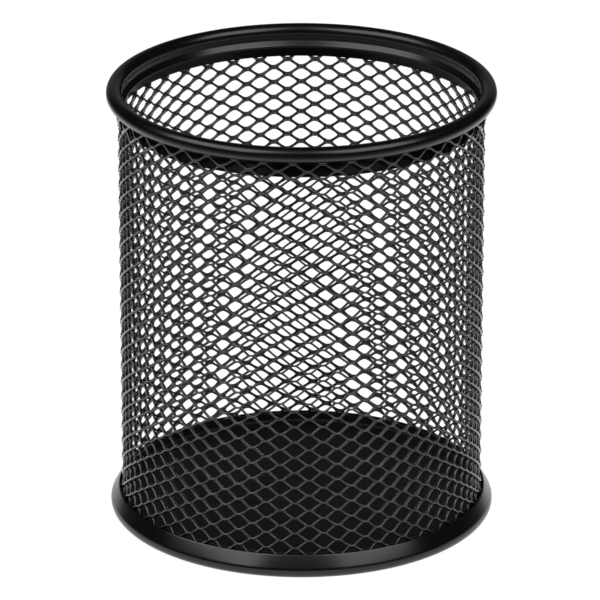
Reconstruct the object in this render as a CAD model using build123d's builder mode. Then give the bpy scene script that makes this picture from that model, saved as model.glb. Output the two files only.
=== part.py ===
"""Round pen holder: an expanded-metal sleeve, a rolled top rim, a rolled base ring and a pan floor.

Millimetres, +Z up. The origin is on the axis, on the desk that the holder stands on, and the front is -Y.
"""
import os
from math import acos, asin, ceil, cos, degrees, radians, sqrt, tan

from build123d import *

# Driving dimensions
height = 100.0  # desk to the top of the rim
rim_radius = 43.0  # over both rolled beads
bead_radius = 1.75  # outside of a rolled bead
sheet = 0.35  # steel sheet of the rim, the base ring and the floor
weld_gap = 0.1  # coating between pieces that are welded side by side

neck_recess = 0.2  # how far the skirt stands back from the inside of the bead
neck_depth = 3.6  # top of the rim to where the skirt turns inwards
ridge_depth = 4.7  # top of the rim to the ridge that runs round the skirt
ridge_reach = 0.95  # how far the ridge stands in from the skirt's edges
ridge_bend = 0.3  # bends of the skirt, at the middle of the sheet
skirt_depth = 7.1  # top of the rim to the lower edge of the skirt

mesh_wall = 0.6  # thickness of the expanded metal
cells_round = 40  # openings in one row round the sleeve
cell_height = 3.593  # from one row of openings to the next in a column
bond_width = 1.95  # metal between two openings side by side
strand_height = 0.85  # metal between two openings one above the other
lowest_opening = 2.32  # middle of the lowest opening in the first column
mesh_turn = 1.24  # degrees from the X axis to the first column of openings

collar_height = 4.9  # desk to the upper edge of the base ring
shoulder_angle = 31.0  # degrees above level at which the shoulder leaves the bead
foot_width = 1.2  # flat under the base ring's bead

floor_height = 3.0  # desk to the top of the floor
flange_height = 1.9  # the floor's turned-up edge, above the floor
flange_bend = 0.8  # bend from the floor up into its edge, at the middle of the sheet

groove_length = 50.0  # plain oblong groove pressed into the floor
groove_breadth = 16.0
groove_width = 2.0
groove_depth = 0.5

# Places that follow from them
bead_circle = rim_radius - bead_radius
bead_line = bead_radius - sheet / 2
rim_bead_z = height - bead_radius
foot_bead_z = sqrt(bead_radius**2 - (foot_width / 2) ** 2)

skirt_line = bead_circle - bead_line + neck_recess
mesh_inside = skirt_line + sheet / 2 + weld_gap
mesh_radius = mesh_inside + mesh_wall
facet_angle = 180 / cells_round
facet_width = 2 * mesh_radius * tan(radians(facet_angle / 2))
mesh_corner = mesh_radius / cos(radians(facet_angle / 2))
collar_line = mesh_corner + weld_gap + sheet / 2
mesh_low = foot_bead_z
mesh_high = rim_bead_z
floor_line = floor_height - sheet / 2
floor_under = floor_height - sheet

os.makedirs("parts", exist_ok=True)

# Top rim: a ridged inner skirt that rolls outwards over the mesh into a bead and closes against its outside
neck_angle = 180 + degrees(acos((bead_circle - skirt_line) / bead_line))
lip_angle = degrees(asin((collar_line - bead_circle) / bead_line)) - 90
with BuildPart() as top_rim:
    with BuildSketch(Plane.XZ):
        with BuildLine():
            bead = CenterArc((bead_circle, rim_bead_z), bead_line, lip_angle, neck_angle - lip_angle)
            FilletPolyline(
                bead @ 1,
                (skirt_line, height - neck_depth),
                (skirt_line - ridge_reach, height - ridge_depth),
                (skirt_line, height - skirt_depth),
                radius=ridge_bend,
            )
        trace(line_width=sheet)
    revolve(axis=Axis.Z)
top_rim.part.label = "top_rim"
export_step(top_rim.part, "parts/top_rim.step")

# Base ring: a shoulder outside the mesh, a bead with a flat foot, and an inner wall that carries the floor
with BuildPart() as base_ring:
    with BuildSketch(Plane.XZ):
        with BuildLine():
            bead = CenterArc((bead_circle, foot_bead_z), bead_line, shoulder_angle, -180 - shoulder_angle)
            TangentArc(bead @ 0, (collar_line, collar_height), tangent=(bead % 0) * -1)
            Line(bead @ 1, (bead_circle - bead_line, floor_under - weld_gap))
        trace(line_width=sheet)
    revolve(axis=Axis.Z)
    split(bisect_by=Plane.XY, keep=Keep.TOP)
base_ring.part.label = "base_ring"
export_step(base_ring.part, "parts/base_ring.step")

# Floor: a pan whose turned-up edge stands inside the mesh, with a plain oblong groove pressed into it
with BuildPart() as floor_pan:
    with BuildSketch(Plane.XZ):
        with BuildLine():
            FilletPolyline(
                (0, floor_line),
                (skirt_line, floor_line),
                (skirt_line, floor_height + flange_height),
                radius=flange_bend,
            )
        trace(line_width=sheet)
    revolve(axis=Axis.Z)
    with BuildSketch(Plane.XY.offset(floor_under)):
        SlotOverall(groove_length + 2 * sheet, groove_breadth + 2 * sheet)
        SlotOverall(
            groove_length - 2 * groove_width - 2 * sheet,
            groove_breadth - 2 * groove_width - 2 * sheet,
            mode=Mode.SUBTRACT,
        )
    extrude(amount=-groove_depth)
    with BuildSketch(Plane.XY.offset(floor_height)):
        SlotOverall(groove_length, groove_breadth)
        SlotOverall(
            groove_length - 2 * groove_width,
            groove_breadth - 2 * groove_width,
            mode=Mode.SUBTRACT,
        )
    extrude(amount=-groove_depth, mode=Mode.SUBTRACT)
floor_pan.part.label = "floor_pan"
export_step(floor_pan.part, "parts/floor_pan.step")

# Mesh sleeve: expanded metal rolled into a tube, flat across each half cell, its ends inside the two beads
opening_width = 2 * facet_width - bond_width
opening_height = cell_height - strand_height
rows = ceil(mesh_high / cell_height)
first_column = [(-facet_width / 2, lowest_opening + row * cell_height) for row in range(-1, rows)]
next_column = [(facet_width / 2, lowest_opening + (row + 0.5) * cell_height) for row in range(-1, rows)]
mitres = [Plane.XZ.rotated((0, 0, angle)) for angle in (0, facet_angle)]
with BuildPart() as facet:
    with BuildSketch(Plane.YZ.rotated((0, 0, facet_angle / 2)).offset(mesh_radius)):
        with Locations((0, (mesh_low + mesh_high) / 2)):
            Rectangle(facet_width + 2 * mesh_wall, mesh_high - mesh_low)
        with Locations(*first_column, *next_column):
            Polygon(
                (opening_width / 2, 0),
                (0, opening_height / 2),
                (-opening_width / 2, 0),
                (0, -opening_height / 2),
                mode=Mode.SUBTRACT,
            )
    extrude(amount=-mesh_wall)
    split(bisect_by=mitres[0], keep=Keep.BOTTOM)
    split(bisect_by=mitres[1], keep=Keep.TOP)

# The facet's cut sides are where it runs on into its neighbours, so the sleeve's skin leaves them out
on_mitre = 0.001
skin = [
    face
    for face in facet.faces()
    if all(abs(mitre.to_local_coords(face.center()).Z) > on_mitre for mitre in mitres)
]
skin += [mirror(face, about=Plane.XZ) for face in skin]
sleeve_skin = []
for cell in range(cells_round):
    turn = Rotation(0, 0, mesh_turn + cell * 360 / cells_round)
    sleeve_skin += [turn * face for face in skin]
with BuildPart() as mesh_sleeve:
    add(Solid(Shell(sleeve_skin)))
mesh_sleeve.part.label = "mesh_sleeve"
export_step(mesh_sleeve.part, "parts/mesh_sleeve.step", write_pcurves=False)
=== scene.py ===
"""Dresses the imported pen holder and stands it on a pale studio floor.

The cup's axis is Z, it stands on Z = 0 and its front faces -Y. Sizes are in millimetres, and become metres
when an object is made. Angles are in degrees.
"""

import logging
import math
from dataclasses import dataclass
from enum import Enum

import bmesh
import bpy
import numpy as np
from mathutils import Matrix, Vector


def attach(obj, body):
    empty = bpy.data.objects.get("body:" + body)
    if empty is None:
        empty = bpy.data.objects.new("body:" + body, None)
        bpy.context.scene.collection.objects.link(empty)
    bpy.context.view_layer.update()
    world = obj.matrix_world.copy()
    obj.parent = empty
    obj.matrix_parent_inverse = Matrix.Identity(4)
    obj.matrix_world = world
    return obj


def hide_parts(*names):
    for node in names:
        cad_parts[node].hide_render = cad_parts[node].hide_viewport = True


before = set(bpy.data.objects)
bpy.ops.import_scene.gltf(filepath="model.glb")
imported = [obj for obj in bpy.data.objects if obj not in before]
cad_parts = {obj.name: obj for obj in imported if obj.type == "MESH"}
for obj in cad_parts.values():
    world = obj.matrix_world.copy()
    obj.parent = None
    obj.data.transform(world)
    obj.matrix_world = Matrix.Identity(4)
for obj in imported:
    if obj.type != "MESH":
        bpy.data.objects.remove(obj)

MM = 0.001
SAME_PLACE = 0.0001
BODY = "root"
WHITE = (1.0, 1.0, 1.0, 1.0)

Point = tuple[float, float]
Triple = tuple[float, float, float]

log = logging.getLogger("pen_holder")


class Slot(Enum):
    """Names of the record's material slots for the rim, the mesh and the floor. Nothing below uses them."""

    RIM = "rim_coat"
    MESH = "mesh_coat"
    FLOOR = "floor_coat"


def ease(share: np.ndarray) -> np.ndarray:
    """Smooths a share that runs from 0 to 1, so that it starts and ends level."""
    return share * share * (3 - 2 * share)


def arc(centre: Point, radius: float, start: float, end: float, steps: int) -> list[Point]:
    """Points along an arc.

    Args:
        centre: The arc's centre.
        radius: Its radius.
        start: First angle, from the first axis.
        end: Last angle.
        steps: Spaces between points.

    Returns:
        The points from start to end.
    """
    angles = [math.radians(start + (end - start) * i / steps) for i in range(steps + 1)]
    return [(centre[0] + radius * math.cos(a), centre[1] + radius * math.sin(a)) for a in angles]


def rounded_path(corners: list[Point], radius: float, steps: int) -> list[Point]:
    """Rounds the inner corners of an open path.

    Args:
        corners: Points of the path.
        radius: Radius of the bends.
        steps: Spaces in each bend.

    Returns:
        The path's points with an arc in place of each inner corner.
    """
    path = [corners[0]]
    for before, corner, after in zip(corners, corners[1:], corners[2:]):
        turn = Vector(corner)
        back = (Vector(before) - turn).normalized()
        on = (Vector(after) - turn).normalized()
        half = back.angle(on) / 2
        reach = radius / math.tan(half)
        middle = turn + (back + on).normalized() * (radius / math.sin(half))
        first, last = turn + back * reach - middle, turn + on * reach - middle
        for step in range(steps + 1):
            spoke = first.slerp(last, step / steps).normalized() * radius
            path.append(tuple(middle + spoke))
    path.append(corners[-1])
    return path


@dataclass(frozen=True)
class SheetSection:
    """Section of a piece bent from sheet and turned about the axis.

    Attributes:
        line: Points in radius and height, along the middle of the sheet.
        thickness: Thickness of the sheet.
        from_axis: Whether the line starts on the axis, where the sheet has no edge.
        spacing: Longest space between points along the line.
        edge_steps: Points round each rounded edge of the sheet.
    """

    line: tuple[Point, ...]
    thickness: float
    from_axis: bool = False
    spacing: float = 0.25
    edge_steps: int = 4

    def resampled(self) -> np.ndarray:
        """Divides the long runs of the line.

        Returns:
            N by 2 array of points along the line.
        """
        points = [np.array(self.line[0])]
        for end in self.line[1:]:
            start, stop = points[-1], np.array(end)
            parts = max(1, math.ceil(np.linalg.norm(stop - start) / self.spacing))
            points += [start + (stop - start) * (i + 1) / parts for i in range(parts)]
        return np.array(points)

    def outline(self) -> np.ndarray:
        """Gives the line the sheet's thickness and rounded edges.

        Returns:
            N by 2 array of points round the sheet, closed unless it starts on the axis.
        """
        line = self.resampled()
        along = np.gradient(line, axis=0)
        along /= np.linalg.norm(along, axis=1)[:, None]
        across = np.stack([-along[:, 1], along[:, 0]], axis=1)
        half = self.thickness / 2
        sweep = np.linspace(math.pi / 2, -math.pi / 2, self.edge_steps + 2)[1:-1, None]
        last = line[-1] + half * (np.cos(sweep) * along[-1] + np.sin(sweep) * across[-1])
        first = line[0] - half * (np.cos(sweep) * along[0] + np.sin(sweep) * across[0])
        sides = [line + half * across, last, (line - half * across)[::-1]]
        return np.concatenate(sides if self.from_axis else sides + [first])


def ring_quads(rings: int, corners: int, spaces: int) -> np.ndarray:
    """Joins sections that stand round a closed ring.

    Args:
        rings: Sections round the ring.
        corners: Points in each section.
        spaces: Spaces in each section that get faces, as many as its points if the section is closed.

    Returns:
        M by 4 array of point indices.
    """
    ring, corner = np.meshgrid(np.arange(rings), np.arange(spaces), indexing="ij")
    here, ahead = ring * corners, (ring + 1) % rings * corners
    next_corner = (corner + 1) % corners
    quads = [here + corner, here + next_corner, ahead + next_corner, ahead + corner]
    return np.stack(quads, axis=-1).reshape(-1, 4)


def lathe(outline: np.ndarray, segments: int) -> tuple[np.ndarray, np.ndarray]:
    """Turns an outline about Z.

    Args:
        outline: N by 2 array of radius and height, closed unless it starts on the axis.
        segments: Steps round the axis.

    Returns:
        Points and quads.
    """
    count = len(outline)
    angles = np.arange(segments) * (2 * math.pi / segments)
    across = np.outer(np.cos(angles), outline[:, 0])
    along = np.outer(np.sin(angles), outline[:, 0])
    up = np.tile(outline[:, 1], (segments, 1))
    points = np.stack([across, along, up], axis=-1).reshape(-1, 3)
    spaces = count if outline[0, 0] > 0 else count - 1
    return points, ring_quads(segments, count, spaces)


def make_piece(name: str, points: np.ndarray, quads: np.ndarray) -> bpy.types.Object:
    """Makes a smooth mesh object.

    Args:
        name: The object's name.
        points: N by 3 array of points.
        quads: M by 4 array of point indices.

    Returns:
        The new object, linked to the scene.
    """
    mesh = bpy.data.meshes.new(name)
    mesh.from_pydata((points * MM).tolist(), [], quads.tolist())
    mesh.polygons.foreach_set("use_smooth", np.ones(len(quads), dtype=bool))
    mesh.validate()
    mesh.update()
    piece = bpy.data.objects.new(name, mesh)
    bpy.context.scene.collection.objects.link(piece)
    return piece


def close_on_axis(piece: bpy.types.Object) -> None:
    """Joins the points that a turned piece has on the axis, so that it closes in a fan there.

    Args:
        piece: The piece.
    """
    nearest = SAME_PLACE * MM
    grid = bmesh.new()
    grid.from_mesh(piece.data)
    on_axis = [point for point in grid.verts if point.co.xy.length < nearest]
    bmesh.ops.remove_doubles(grid, verts=on_axis, dist=nearest)
    grid.to_mesh(piece.data)
    grid.free()


def dress(piece: bpy.types.Object, material: bpy.types.Material, node: str) -> None:
    """Gives a piece its material and puts it in the place of a CAD node.

    Args:
        piece: The piece.
        material: Its only material.
        node: The CAD node that it stands for.
    """
    piece.data.materials.append(material)
    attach(piece, BODY)
    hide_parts(node)
    log.info("%s: %d faces, stands for %s", piece.name, len(piece.data.polygons), node)


class CoatTexture:
    """Surface of a baked powder coat: fine orange peel, a finer grain and patches of uneven gloss.

    Attributes:
        GROUP: Name of the shared node group.
        NOISES: Scale, in features to the metre, and detail of each noise.
        GRAIN_SHARE: How much of the height is grain, the rest being peel.
        PATCH_RANGE: Values of the patch noise that are full gloss and none.
    """

    GROUP = "powder_coat_texture"
    NOISES = {"Peel": (900.0, 1.5), "Grain": (4200.0, 2.0), "Patch": (60.0, 3.0)}
    GRAIN_SHARE = 0.3
    PATCH_RANGE = (0.3, 0.7)

    @classmethod
    def group(cls) -> bpy.types.NodeTree:
        """The shared node group, made on first use."""
        return bpy.data.node_groups.get(cls.GROUP) or cls.make()

    @classmethod
    def make(cls) -> bpy.types.NodeTree:
        """Makes the node group.

        Returns:
            The node group, with Height, Gloss and Tone outputs.
        """
        tree = bpy.data.node_groups.new(cls.GROUP, "ShaderNodeTree")
        nodes, links = tree.nodes, tree.links

        def socket(name: str, in_out: str) -> bpy.types.NodeTreeInterfaceSocket:
            """Gives the group a socket for a number."""
            return tree.interface.new_socket(name, in_out=in_out, socket_type="NodeSocketFloat")

        for name, (scale, _) in cls.NOISES.items():
            socket(f"{name} Scale", "INPUT").default_value = scale
        socket("Grain Share", "INPUT").default_value = cls.GRAIN_SHARE
        for name in ("Height", "Gloss", "Tone"):
            socket(name, "OUTPUT")
        given, put_out = nodes.new("NodeGroupInput"), nodes.new("NodeGroupOutput")
        place = nodes.new("ShaderNodeTexCoord")
        noises = {}
        for name, (_, detail) in cls.NOISES.items():
            noise = nodes.new("ShaderNodeTexNoise")
            noise.inputs["Detail"].default_value = detail
            links.new(place.outputs["Object"], noise.inputs["Vector"])
            links.new(given.outputs[f"{name} Scale"], noise.inputs["Scale"])
            noises[name] = noise.outputs["Fac"]
        height = nodes.new("ShaderNodeMix")
        links.new(given.outputs["Grain Share"], height.inputs["Factor"])
        links.new(noises["Peel"], height.inputs["A"])
        links.new(noises["Grain"], height.inputs["B"])
        links.new(height.outputs["Result"], put_out.inputs["Height"])
        gloss = nodes.new("ShaderNodeMapRange")
        gloss.inputs["From Min"].default_value, gloss.inputs["From Max"].default_value = cls.PATCH_RANGE
        links.new(noises["Patch"], gloss.inputs["Value"])
        links.new(gloss.outputs["Result"], put_out.inputs["Gloss"])
        tone = nodes.new("ShaderNodeMath")
        tone.operation = "MULTIPLY"
        links.new(gloss.outputs["Result"], tone.inputs[0])
        links.new(noises["Grain"], tone.inputs[1])
        links.new(tone.outputs["Value"], put_out.inputs["Tone"])
        return tree


@dataclass(frozen=True)
class BlackCoat:
    """Semi-gloss black powder coat on steel.

    Attributes:
        name: The material's name.
        deep: Grey level of the coat where it is blackest.
        worn: Grey level where it is palest.
        gloss_rough: Roughness where it is glossiest.
        dull_rough: Roughness where it is dullest.
        peel_scale: Orange peel, in features to the metre.
        peel_depth: Depth of the peel.
        specular: Strength of its own shine.
        glaze: Strength of a clear layer over it.
        glaze_rough: Roughness of that layer.
    """

    name: str
    deep: float
    worn: float
    gloss_rough: float
    dull_rough: float
    peel_scale: float
    peel_depth: float
    specular: float = 0.5
    glaze: float = 0.0
    glaze_rough: float = 0.2

    def material(self) -> bpy.types.Material:
        """Makes the material.

        Returns:
            The material with its node tree.
        """
        made = bpy.data.materials.new(self.name)
        made.use_nodes = True
        nodes, links = made.node_tree.nodes, made.node_tree.links
        shader = nodes["Principled BSDF"]
        shader.inputs["Specular IOR Level"].default_value = self.specular
        shader.inputs["Coat Weight"].default_value = self.glaze
        shader.inputs["Coat Roughness"].default_value = self.glaze_rough
        texture = nodes.new("ShaderNodeGroup")
        texture.node_tree = CoatTexture.group()
        texture.inputs["Peel Scale"].default_value = self.peel_scale
        colour = nodes.new("ShaderNodeMix")
        colour.data_type = "RGBA"
        colour.inputs["A"].default_value = (self.deep, self.deep, self.deep, 1)
        colour.inputs["B"].default_value = (self.worn, self.worn, self.worn, 1)
        links.new(texture.outputs["Tone"], colour.inputs["Factor"])
        links.new(colour.outputs["Result"], shader.inputs["Base Color"])
        rough = nodes.new("ShaderNodeMapRange")
        rough.inputs["To Min"].default_value = self.gloss_rough
        rough.inputs["To Max"].default_value = self.dull_rough
        links.new(texture.outputs["Gloss"], rough.inputs["Value"])
        links.new(rough.outputs["Result"], shader.inputs["Roughness"])
        bump = nodes.new("ShaderNodeBump")
        bump.inputs["Strength"].default_value = 1.0
        bump.inputs["Distance"].default_value = self.peel_depth * MM
        links.new(texture.outputs["Height"], bump.inputs["Height"])
        links.new(bump.outputs["Normal"], shader.inputs["Normal"])
        return made


RIM_COAT = BlackCoat(
    "rim_black_coat",
    deep=0.003,
    worn=0.007,
    gloss_rough=0.2,
    dull_rough=0.28,
    peel_scale=900,
    peel_depth=0.008,
)
MESH_COAT = BlackCoat(
    "mesh_black_coat",
    deep=0.01,
    worn=0.018,
    gloss_rough=0.26,
    dull_rough=0.34,
    peel_scale=1500,
    peel_depth=0.004,
    glaze=1.0,
)
FLOOR_COAT = BlackCoat(
    "floor_black_coat",
    deep=0.008,
    worn=0.016,
    gloss_rough=0.5,
    dull_rough=0.6,
    peel_scale=900,
    peel_depth=0.015,
    specular=0.28,
)


@dataclass(frozen=True)
class Cup:
    """Sizes that the cup's pieces share.

    Attributes:
        height: Desk to the top of the rim.
        radius: Outside of both rolled beads, from the axis.
        bead_radius: Outside of a rolled bead.
        sheet: Thickness of the rim, the base ring and the floor.
        skirt_recess: How far the rim's skirt and the floor's edge stand back from the inside of the beads.
    """

    height: float = 100.0
    radius: float = 43.0
    bead_radius: float = 1.75
    sheet: float = 0.35
    skirt_recess: float = 0.2

    @property
    def bead_circle(self) -> float:
        """Radius of the circle that the middle of a bead runs round."""
        return self.radius - self.bead_radius

    @property
    def bead_line(self) -> float:
        """Radius of a bead in mid sheet."""
        return self.bead_radius - self.sheet / 2

    @property
    def skirt_radius(self) -> float:
        """Radius of the rim's skirt and of the floor's edge, in mid sheet."""
        return self.bead_circle - self.bead_line + self.skirt_recess


@dataclass
class TopRim:
    """Rolled bead over the mesh's upper edge, with a ridged skirt inside the mesh.

    Attributes:
        cup: Shared sizes.
        neck_depth: Top of the rim to where the skirt turns inwards.
        ridge_depth: Top of the rim to the ridge round the skirt.
        ridge_reach: How far the ridge stands in from the skirt's edges.
        ridge_bend: Radius of the skirt's bends.
        bend_steps: Spaces in each of them.
        skirt_depth: Top of the rim to the skirt's lower edge.
        lip_angle: Angle above level, going outwards, at which the bead ends against the mesh.
        bead_steps: Spaces round the bead.
        segments: Steps round the axis.
    """

    cup: Cup
    neck_depth: float = 3.6
    ridge_depth: float = 4.7
    ridge_reach: float = 0.95
    ridge_bend: float = 0.3
    bend_steps: int = 5
    skirt_depth: float = 7.1
    lip_angle: float = -97.0
    bead_steps: int = 60
    segments: int = 288

    def section(self) -> SheetSection:
        """Draws the section from the skirt's lower edge round the bead to its lip.

        Returns:
            The section.
        """
        cup = self.cup
        centre = (cup.bead_circle, cup.height - cup.bead_radius)
        neck_angle = 180 + math.degrees(math.acos((cup.bead_circle - cup.skirt_radius) / cup.bead_line))
        bead = arc(centre, cup.bead_line, neck_angle, self.lip_angle, self.bead_steps)
        skirt_corners = [
            (cup.skirt_radius, cup.height - self.skirt_depth),
            (cup.skirt_radius - self.ridge_reach, cup.height - self.ridge_depth),
            (cup.skirt_radius, cup.height - self.neck_depth),
            bead[0],
        ]
        skirt = rounded_path(skirt_corners, self.ridge_bend, self.bend_steps)
        return SheetSection(tuple(skirt + bead[1:]), cup.sheet)

    def build(self, material: bpy.types.Material) -> bpy.types.Object:
        """Builds and dresses the rim.

        Args:
            material: Its coat.

        Returns:
            The rim.
        """
        piece = make_piece("rolled_rim", *lathe(self.section().outline(), self.segments))
        dress(piece, material, "top_rim")
        return piece


@dataclass
class BaseRing:
    """Rounded shoulder outside the mesh, a rolled foot bead and an inner wall that carries the floor.

    Attributes:
        cup: Shared sizes.
        bead_height: Desk to the middle of the bead, which leaves a narrow flat under it.
        collar_radius: The ring's upper edge, outside the mesh, in mid sheet.
        collar_height: Desk to that edge.
        shoulder_angle: Angle above level at which the shoulder leaves the bead.
        shoulder_steps: Spaces along the shoulder.
        wall_height: Desk to the top of the inner wall.
        bead_steps: Spaces round the bead.
        segments: Steps round the axis.
    """

    cup: Cup
    bead_height: float = 1.644
    collar_radius: float = 41.055
    collar_height: float = 4.9
    shoulder_angle: float = 31.0
    shoulder_steps: int = 12
    wall_height: float = 2.55
    bead_steps: int = 48
    segments: int = 288

    def section(self) -> SheetSection:
        """Draws the section from the collar down the shoulder, round the bead and up the inner wall.

        Returns:
            The section, with its bead still round underneath.
        """
        cup = self.cup
        centre = (cup.bead_circle, self.bead_height)
        bead = arc(centre, cup.bead_line, self.shoulder_angle, -180, self.bead_steps)
        start, end = Vector(bead[0]), Vector((self.collar_radius, self.collar_height))
        rise = math.radians(self.shoulder_angle)
        inward = -Vector((math.cos(rise), math.sin(rise)))
        chord = end - start
        radius = chord.length_squared / (2 * chord.dot(inward))
        middle = start + inward * radius
        spoke = end - middle
        collar_angle = math.degrees(math.atan2(spoke.y, spoke.x))
        shoulder = arc(tuple(middle), radius, collar_angle, self.shoulder_angle, self.shoulder_steps)
        wall_top = (cup.bead_circle - cup.bead_line, self.wall_height)
        return SheetSection(tuple(shoulder + bead[1:] + [wall_top]), cup.sheet)

    def outline(self) -> np.ndarray:
        """Flattens the foot of the section.

        Returns:
            N by 2 array of points round the section, none of them below the desk.
        """
        outline = self.section().outline()
        outline[:, 1] = np.maximum(outline[:, 1], 0.0)
        return outline

    def build(self, material: bpy.types.Material) -> bpy.types.Object:
        """Builds and dresses the base ring.

        Args:
            material: Its coat.

        Returns:
            The ring.
        """
        piece = make_piece("foot_ring", *lathe(self.outline(), self.segments))
        dress(piece, material, "base_ring")
        return piece


@dataclass
class FloorPan:
    """Pressed floor with a turned-up edge and a plain oblong groove.

    Attributes:
        cup: Shared sizes.
        floor_height: Desk to the top of the floor.
        edge_height: The turned-up edge, above the floor.
        bend: Radius of the bend up into the edge.
        bend_steps: Spaces in that bend.
        groove_length: Length over the groove.
        groove_breadth: Breadth over the groove.
        groove_width: Width of the groove, from the middle of one side to the middle of the other.
        groove_side: Width of each sloping side.
        groove_depth: Depth of the groove.
        segments: Steps round the axis.
    """

    cup: Cup
    floor_height: float = 3.0
    edge_height: float = 1.9
    bend: float = 0.8
    bend_steps: int = 8
    groove_length: float = 50.0
    groove_breadth: float = 16.0
    groove_width: float = 2.0
    groove_side: float = 1.0
    groove_depth: float = 0.5
    segments: int = 264

    def section(self) -> SheetSection:
        """Draws the section from the middle of the floor to the top of its edge.

        Returns:
            The section.
        """
        level = self.floor_height - self.cup.sheet / 2
        corners = [
            (0.0, level),
            (self.cup.skirt_radius, level),
            (self.cup.skirt_radius, self.floor_height + self.edge_height),
        ]
        line = rounded_path(corners, self.bend, self.bend_steps)
        return SheetSection(tuple(line), self.cup.sheet, from_axis=True)

    def press(self, points: np.ndarray) -> np.ndarray:
        """Presses the groove into the floor.

        Args:
            points: Points of the flat floor.

        Returns:
            The points, lowered along the groove.
        """
        run = (self.groove_length - self.groove_breadth) / 2
        off_run = np.maximum(np.abs(points[:, 0]) - run, 0)
        ring = (self.groove_breadth - self.groove_width) / 2
        from_line = np.abs(np.hypot(off_run, points[:, 1]) - ring)
        share = np.clip(0.5 + (self.groove_width / 2 - from_line) / self.groove_side, 0, 1)
        pressed = points.copy()
        pressed[:, 2] -= self.groove_depth * ease(share)
        return pressed

    def build(self, material: bpy.types.Material) -> bpy.types.Object:
        """Builds and dresses the floor.

        Args:
            material: Its coat.

        Returns:
            The floor.
        """
        points, quads = lathe(self.section().outline(), self.segments)
        piece = make_piece("pressed_floor", self.press(points), quads)
        close_on_axis(piece)
        dress(piece, material, "floor_pan")
        return piece


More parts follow.
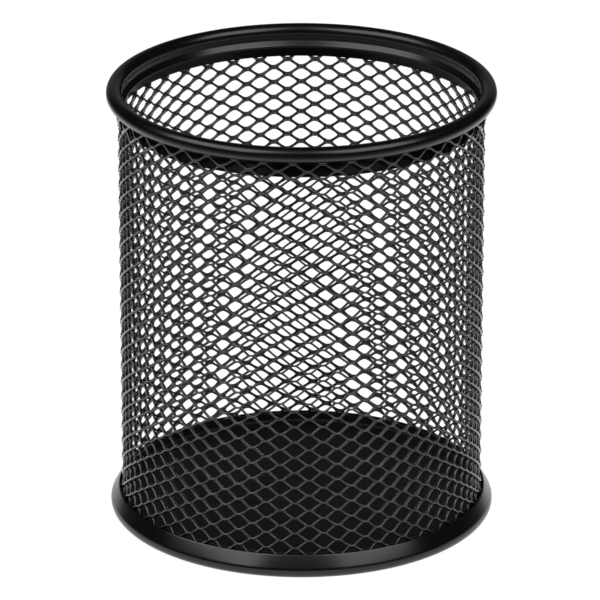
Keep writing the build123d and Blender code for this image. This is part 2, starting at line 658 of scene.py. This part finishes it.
@dataclass
class MeshSleeve:
    """Raised expanded metal rolled into a tube.

    Each strand runs round the cup in a zigzag. It is the lower, inner half of a bond at each crest and the
    upper, outer half of a bond at each trough, so all its flats lean the same way. The rim and the base ring
    press the mesh steeper and further out where they hold it.

    Attributes:
        cells_round: Openings in one row.
        cell_height: From one row of openings to the next in a column.
        first_column: Angle from the front to the first column of openings.
        column_drift: Angle by which the columns crowd towards the right, at the front and the back.
        first_opening: Height of the first column's reference opening.
        row_tilt: How far the rows rise to the front and sink to the back.
        lean: Turn of the columns for each millimetre of height.
        lean_level: Height at which they have not turned.
        radius: Middle of the free mesh.
        held_radius: Middle of the mesh where it is held.
        strand_width: Width of a strand.
        strand_thickness: Thickness of a strand.
        strand_round: How much of half the thickness is rounded off its edges.
        bond_lap: Width of the section in strand widths, so that bonded strands lap.
        tilt: Lean of the flats, above level, going outwards.
        held_tilt: Their lean where the mesh is held.
        bond_flat: Half of a bond's length, in half cells.
        bond_bend: Length of the bend from a bond into a slope, in half cells.
        web_width: How far the coat fills the sharp corners beside a bond.
        web_share: How far up the slope it fills them most.
        web_end: How far up the slope it ends.
        low: Lower end of the mesh.
        high: Upper end of the mesh.
        held_below: Height below which the base ring holds the mesh.
        held_above: Height above which the rim holds it.
        hold_run: Height over which the free mesh changes into the held one.
        steps: Sections of a strand in each half cell.
    """

    cells_round: int = 40
    cell_height: float = 3.593
    first_column: float = 1.235
    column_drift: float = 0.935
    first_opening: float = 20.285
    row_tilt: float = 0.185
    lean: float = -0.0068
    lean_level: float = 50.0
    radius: float = 39.9
    held_radius: float = 40.47
    strand_width: float = 0.66
    strand_thickness: float = 0.44
    strand_round: float = 0.6
    bond_lap: float = 1.06
    tilt: float = 22.0
    held_tilt: float = 45.0
    bond_flat: float = 0.09
    bond_bend: float = 0.14
    web_width: float = 0.3
    web_share: float = 0.12
    web_end: float = 0.45
    low: float = 1.7
    high: float = 98.2
    held_below: float = 4.4
    held_above: float = 93.2
    hold_run: float = 1.6
    steps: int = 8

    def crest_share(self, phase: np.ndarray) -> np.ndarray:
        """How far up its zigzag a strand is.

        Args:
            phase: 0 at a trough, 1 at the next crest, 2 at the trough after it.

        Returns:
            0 along a trough's bond to 1 along a crest's bond, with a bend at each end of the slope.
        """
        up = 1 - np.abs(np.mod(phase, 2) - 1)
        run = 1 - 2 * self.bond_flat
        slope = 1 / (run - self.bond_bend)
        along = np.clip(up - self.bond_flat, 0, run)
        low = slope * along**2 / (2 * self.bond_bend)
        high = 1 - slope * (run - along) ** 2 / (2 * self.bond_bend)
        middle = slope * (along - self.bond_bend / 2)
        return np.where(along < self.bond_bend, low, np.where(along > run - self.bond_bend, high, middle))

    def web(self, share: np.ndarray) -> np.ndarray:
        """How far the coat fills the sharp corner of the opening beside a bond.

        Args:
            share: How far the strand has come away from the bond, 0 to 1.

        Returns:
            Millimetres added to the strand's edge.
        """
        rise = np.minimum(share / self.web_share, 1)
        fall = np.clip((self.web_end - share) / (self.web_end - self.web_share), 0, 1)
        return self.web_width * rise * ease(fall)

    def section(self) -> np.ndarray:
        """Draws the rounded oblong section of a strand.

        Returns:
            Points in width and thickness, in the order that makes the faces look outwards.
        """
        wide, thick = self.strand_width / 2 * self.bond_lap, self.strand_thickness / 2
        cut = thick * self.strand_round
        corner = [(wide, cut - thick), (wide - cut, -thick)]
        lower = corner + [(-w, t) for w, t in reversed(corner)]
        return np.array(lower + [(-w, -t) for w, t in lower])

    def hold(self, height: np.ndarray) -> np.ndarray:
        """How far the rim and the base ring hold the mesh.

        Args:
            height: Heights on the mesh.

        Returns:
            0 where the mesh is free to 1 where it is held.
        """
        below = np.clip((self.held_below + self.hold_run - height) / self.hold_run, 0, 1)
        above = np.clip((height - self.held_above + self.hold_run) / self.hold_run, 0, 1)
        return ease(np.maximum(below, above))

    def route(self, row: int) -> tuple[np.ndarray, np.ndarray, np.ndarray]:
        """Follows one strand's zigzag round the cup.

        Args:
            row: Half rows above the first opening's bond.

        Returns:
            Angles from the front in radians, heights, and how far up its zigzag the strand is.
        """
        phase = np.arange(2 * self.cells_round * self.steps) / self.steps
        share = self.crest_share(phase)
        even = math.radians(self.first_column) + math.pi / self.cells_round * (row + 1 + phase)
        level = self.first_opening + (row + share) * self.cell_height / 2 + self.row_tilt * np.cos(even)
        angle = even + np.radians(self.lean * (level - self.lean_level) + self.column_drift * np.cos(even))
        return angle, level, share

    def strand(self, row: int) -> np.ndarray:
        """Sets sections along one strand.

        Args:
            row: Half rows above the first opening's bond.

        Returns:
            Points round the cup, sections along the strand by corners of the section by 3.
        """
        angle, level, share = self.route(row)
        nil = np.zeros_like(level)
        held = self.hold(level)
        tilt = np.radians(self.tilt + (self.held_tilt - self.tilt) * held)
        middle = self.radius + (self.held_radius - self.radius) * held
        wide = np.stack([np.cos(tilt), nil, np.sin(tilt)], axis=-1)
        offset = self.strand_width / 2 * (1 - 2 * share)
        centre = np.stack([middle, nil, level], axis=-1) + offset[:, None] * wide
        turn = (np.roll(angle, -1) - np.roll(angle, 1) + math.pi) % (2 * math.pi) - math.pi
        rise = np.roll(level, -1) - np.roll(level, 1)
        run = np.stack([nil, self.radius * turn, rise], axis=-1)
        run /= np.linalg.norm(run, axis=1)[:, None]
        wide -= np.sum(wide * run, axis=1)[:, None] * run
        thick = np.cross(wide, run)
        thick /= np.linalg.norm(thick, axis=1)[:, None]
        section = self.section()
        inner, outer = self.web(share)[:, None], self.web(1 - share)[:, None]
        across = section[:, 0] + np.where(section[:, 0] < 0, -inner, outer)
        local = centre[:, None] + across[..., None] * wide[:, None] + section[:, 1, None] * thick[:, None]
        out, up = local[..., 0], local[..., 2]
        turned = angle[:, None] + local[..., 1] / self.radius
        return np.stack([out * np.sin(turned), -out * np.cos(turned), up], axis=-1)

    def build(self, material: bpy.types.Material) -> bpy.types.Object:
        """Builds and dresses the sleeve.

        Args:
            material: Its coat.

        Returns:
            The sleeve.
        """
        half_row = self.cell_height / 2
        first = math.ceil((self.low - self.first_opening) / half_row)
        last = math.floor((self.high - self.first_opening) / half_row) - 1
        strands = np.stack([self.strand(row) for row in range(first, last + 1)])
        count, rings, corners = strands.shape[:3]
        quads = ring_quads(rings, corners, corners)
        all_quads = np.concatenate([quads + i * rings * corners for i in range(count)])
        piece = make_piece("expanded_sleeve", strands.reshape(-1, 3), all_quads)
        dress(piece, material, "mesh_sleeve")
        return piece


@dataclass(frozen=True)
class Softbox:
    """A soft light that faces the cup.

    Attributes:
        name: The light's name.
        azimuth: Angle from the front, to the right.
        elevation: Angle above level.
        distance: From the cup's middle.
        width: Width of the light.
        height: Height of the light.
        power: Watts.
        colour: Colour of the light.
    """

    name: str
    azimuth: float
    elevation: float
    distance: float
    width: float
    height: float
    power: float
    colour: Triple = (1.0, 0.97, 0.93)

    def place(self, target: Triple) -> bpy.types.Object:
        """Hangs the light.

        Args:
            target: Point that it faces.

        Returns:
            The light.
        """
        lamp = bpy.data.lights.new(self.name, "AREA")
        lamp.shape = "RECTANGLE"
        lamp.size, lamp.size_y = self.width * MM, self.height * MM
        lamp.energy = self.power
        lamp.color = self.colour
        hung = bpy.data.objects.new(self.name, lamp)
        bpy.context.scene.collection.objects.link(hung)
        turn, rise = math.radians(self.azimuth), math.radians(self.elevation)
        out = Vector((math.sin(turn) * math.cos(rise), -math.cos(turn) * math.cos(rise), math.sin(rise)))
        hung.location = (Vector(target) + out * self.distance) * MM
        hung.rotation_euler = (-out).to_track_quat("-Z", "Y").to_euler()
        hung.visible_camera = False
        return hung


@dataclass(frozen=True)
class GlowBand:
    """A part of the room that glows.

    Attributes:
        way: Direction to its middle.
        start: Cosine of the angle from that direction at which the glow starts.
        full: Cosine of the angle at which it is full.
        level: Strength of the full glow.
    """

    way: Triple
    start: float
    full: float
    level: float


@dataclass
class Studio:
    """Pale floor, soft lights, a white surround and the camera.

    Attributes:
        target: Point that the lights face.
        camera_distance: From the camera to the plane of the target.
        camera_elevation: Angle of the camera above level.
        frame_shift: How far right and up of the target the camera aims.
        focal_length: The lens, for the sensor.
        sensor: Width of the sensor.
        clip: Nearest and furthest point that the camera sees.
        floor_reach: From the axis to the floor's edges.
        floor_tone: Grey level of the floor's paint, which takes the shadow.
        floor_glow: Strength of the floor's glow for other rays and for those that see it white.
        pool_middle: Middle of the pool that reflections see white.
        pool_reach: Distances from there at which the white starts to fade and ends.
        dim_level: Strength of the dark parts of the room.
        overhead: Glow above and in front of the cup.
        back: Glow behind it.
        softboxes: The lights.
    """

    target: Triple = (0.0, 0.0, 50.0)
    camera_distance: float = 1229.0
    camera_elevation: float = 21.52
    frame_shift: Point = (-0.335, -1.05)
    focal_length: float = 330.672
    sensor: float = 36.0
    clip: Point = (50.0, 50000.0)
    floor_reach: float = 4000.0
    floor_tone: float = 0.12
    floor_glow: Point = (0.1, 0.96)
    pool_middle: Triple = (0.0, 120.0, 0.0)
    pool_reach: Point = (200.0, 360.0)
    dim_level: float = 0.012
    overhead: GlowBand = GlowBand(way=(0.0, -0.5, 0.866), start=0.86, full=0.96, level=0.32)
    back: GlowBand = GlowBand(way=(0.0, 1.0, 0.0), start=0.8, full=0.97, level=0.15)
    softboxes: tuple[Softbox, ...] = (
        Softbox("left_softbox", azimuth=-60, elevation=48, distance=1200, width=1200, height=800, power=8.6),
        Softbox("right_softbox", azimuth=50, elevation=48, distance=1200, width=900, height=800, power=6.4),
    )

    def camera(self) -> bpy.types.Object:
        """Sets the camera where the picture was taken from.

        Returns:
            The camera.
        """
        data = bpy.data.cameras.new("picture_camera")
        data.sensor_width = self.sensor
        data.lens = self.focal_length
        data.clip_start, data.clip_end = (distance * MM for distance in self.clip)
        camera = bpy.data.objects.new("picture_camera", data)
        bpy.context.scene.collection.objects.link(camera)
        rise = math.radians(self.camera_elevation)
        back = Vector((0, -math.cos(rise), math.sin(rise)))
        up = Vector((0, math.sin(rise), math.cos(rise)))
        right = Vector((1, 0, 0))
        aim = Vector(self.target) + right * self.frame_shift[0] + up * self.frame_shift[1]
        camera.location = (aim + back * self.camera_distance) * MM
        camera.rotation_euler = (-back).to_track_quat("-Z", "Y").to_euler()
        bpy.context.scene.camera = camera
        return camera

    def floor_material(self) -> bpy.types.Material:
        """Makes the floor white to the lens and, near the cup, in reflections, and clear from below.

        Returns:
            The material with its node tree.
        """
        made = bpy.data.materials.new("studio_floor")
        made.use_nodes = True
        nodes, links = made.node_tree.nodes, made.node_tree.links
        nodes.clear()
        path, place = nodes.new("ShaderNodeLightPath"), nodes.new("ShaderNodeNewGeometry")

        def join(operation: str, *values: bpy.types.NodeSocket) -> bpy.types.NodeSocket:
            """Joins two values by a sum or a product.

            Args:
                operation: ADD or MULTIPLY.
                values: The two values.

            Returns:
                The result, kept between 0 and 1.
            """
            node = nodes.new("ShaderNodeMath")
            node.operation = operation
            node.use_clamp = True
            for value, given in zip(values, node.inputs):
                links.new(value, given)
            return node.outputs["Value"]

        away = nodes.new("ShaderNodeVectorMath")
        away.operation = "DISTANCE"
        away.inputs[1].default_value = Vector(self.pool_middle) * MM
        links.new(place.outputs["Position"], away.inputs[0])
        pool = nodes.new("ShaderNodeMapRange")
        pool.interpolation_type = "SMOOTHSTEP"
        pool.inputs["From Min"].default_value = self.pool_reach[0] * MM
        pool.inputs["From Max"].default_value = self.pool_reach[1] * MM
        pool.inputs["To Min"].default_value, pool.inputs["To Max"].default_value = 1.0, 0.0
        links.new(away.outputs["Value"], pool.inputs["Value"])
        mirrored = join("ADD", path.outputs["Is Glossy Ray"], path.outputs["Is Transmission Ray"])
        near = join("MULTIPLY", mirrored, pool.outputs["Result"])
        seen = join("ADD", path.outputs["Is Camera Ray"], near)
        strength = nodes.new("ShaderNodeMapRange")
        strength.inputs["To Min"].default_value, strength.inputs["To Max"].default_value = self.floor_glow
        links.new(seen, strength.inputs["Value"])
        glow = nodes.new("ShaderNodeEmission")
        links.new(strength.outputs["Result"], glow.inputs["Strength"])
        paint = nodes.new("ShaderNodeBsdfDiffuse")
        paint.inputs["Color"].default_value = (self.floor_tone, self.floor_tone, self.floor_tone, 1)
        top = nodes.new("ShaderNodeAddShader")
        links.new(paint.outputs["BSDF"], top.inputs[0])
        links.new(glow.outputs["Emission"], top.inputs[1])
        clear = nodes.new("ShaderNodeBsdfTransparent")
        side = nodes.new("ShaderNodeMixShader")
        links.new(place.outputs["Backfacing"], side.inputs["Fac"])
        links.new(top.outputs["Shader"], side.inputs[1])
        links.new(clear.outputs["BSDF"], side.inputs[2])
        result = nodes.new("ShaderNodeOutputMaterial")
        links.new(side.outputs["Shader"], result.inputs["Surface"])
        return made

    def floor(self) -> bpy.types.Object:
        """Lays the floor under the cup.

        Returns:
            The floor.
        """
        reach = self.floor_reach * MM
        corners = [(-reach, -reach, 0), (reach, -reach, 0), (reach, reach, 0), (-reach, reach, 0)]
        mesh = bpy.data.meshes.new("studio_floor")
        mesh.from_pydata(corners, [], [(0, 1, 2, 3)])
        floor = bpy.data.objects.new("studio_floor", mesh)
        bpy.context.scene.collection.objects.link(floor)
        mesh.materials.append(self.floor_material())
        return floor

    def surround(self) -> bpy.types.World:
        """Makes the world white to the lens, and to everything else a dim room with its glowing bands.

        Returns:
            The world.
        """
        world = bpy.data.worlds.new("studio")
        world.use_nodes = True
        nodes, links = world.node_tree.nodes, world.node_tree.links
        nodes.clear()
        place = nodes.new("ShaderNodeTexCoord")

        def glow_of(band: GlowBand) -> bpy.types.NodeSocket:
            """Shades the room from the dim level to a band's own level.

            Args:
                band: The band.

            Returns:
                The strength in each direction.
            """
            towards = nodes.new("ShaderNodeVectorMath")
            towards.operation = "DOT_PRODUCT"
            towards.inputs[1].default_value = band.way
            links.new(place.outputs["Generated"], towards.inputs[0])
            shade = nodes.new("ShaderNodeMapRange")
            shade.interpolation_type = "SMOOTHSTEP"
            shade.inputs["From Min"].default_value = band.start
            shade.inputs["From Max"].default_value = band.full
            shade.inputs["To Min"].default_value = self.dim_level
            shade.inputs["To Max"].default_value = band.level
            links.new(towards.outputs["Value"], shade.inputs["Value"])
            return shade.outputs["Result"]

        def most(*values: bpy.types.NodeSocket) -> bpy.types.NodeSocket:
            """Picks the greater of two values.

            Args:
                values: The two values.

            Returns:
                The greater one.
            """
            node = nodes.new("ShaderNodeMath")
            node.operation = "MAXIMUM"
            for value, given in zip(values, node.inputs):
                links.new(value, given)
            return node.outputs["Value"]

        room = most(glow_of(self.overhead), glow_of(self.back))
        path = nodes.new("ShaderNodeLightPath")
        light = nodes.new("ShaderNodeBackground")
        light.inputs["Color"].default_value = WHITE
        links.new(most(room, path.outputs["Is Camera Ray"]), light.inputs["Strength"])
        result = nodes.new("ShaderNodeOutputWorld")
        links.new(light.outputs["Background"], result.inputs["Surface"])
        bpy.context.scene.world = world
        return world

    def build(self) -> None:
        """Builds the whole studio."""
        bpy.context.scene.view_settings.view_transform = "Standard"
        self.surround()
        self.floor()
        for softbox in self.softboxes:
            softbox.place(self.target)
        self.camera()
        log.info("studio: floor, surround, %d softboxes and camera", len(self.softboxes))


def main() -> None:
    """Builds the cup's pieces in order, then the studio, and logs what each step made."""
    logging.basicConfig(level=logging.INFO, format="%(name)s %(message)s")
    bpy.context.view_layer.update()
    cup = Cup()
    rim_material = RIM_COAT.material()
    MeshSleeve().build(MESH_COAT.material())
    TopRim(cup).build(rim_material)
    BaseRing(cup).build(rim_material)
    FloorPan(cup).build(FLOOR_COAT.material())
    Studio().build()


if __name__ == "__main__":
    main()
